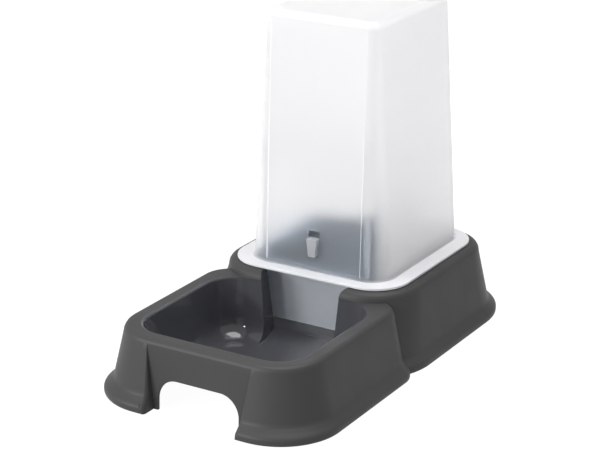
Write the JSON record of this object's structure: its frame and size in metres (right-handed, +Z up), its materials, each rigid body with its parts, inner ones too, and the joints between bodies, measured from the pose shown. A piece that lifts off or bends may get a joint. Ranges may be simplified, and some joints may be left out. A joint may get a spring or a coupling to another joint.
{
  "type": "gravity pet feeder",
  "caption": "Gravity pet feeder: dark plastic base with a square bowl and finger notch, a frosted lift-off hopper and a sliding flow gate.",
  "frame": {"origin": "centre of the footprint on the floor", "axes": "+Z up, bowl and finger notch towards -Y, hopper towards +Y, mirror-symmetric across X = 0"},
  "size_m": [0.2006, 0.355, 0.2699],
  "materials": {
    "base_plastic": "satin",
    "hopper_plastic": "frosted translucent",
    "gate_plastic": "smoky translucent",
    "pad_rubber": "matte"
  },
  "bodies": {
    "base": {"base_shell": "base_plastic", "pad_front_left": "pad_rubber", "pad_front_right": "pad_rubber", "pad_rear_left": "pad_rubber", "pad_rear_right": "pad_rubber"},
    "hopper": {"hopper": "hopper_plastic"},
    "gate": {"flow_gate": "gate_plastic"}
  },
  "joints": [
    {"name": "hopper_lift", "type": "slide", "parent": "base", "child": "hopper", "axis": [0, 0, 1], "range_m": [0, 0.09]},
    {"name": "gate_slide", "type": "slide", "parent": "hopper", "child": "gate", "axis": [0, 0, 1], "range_m": [0, 0.006]}
  ]
}
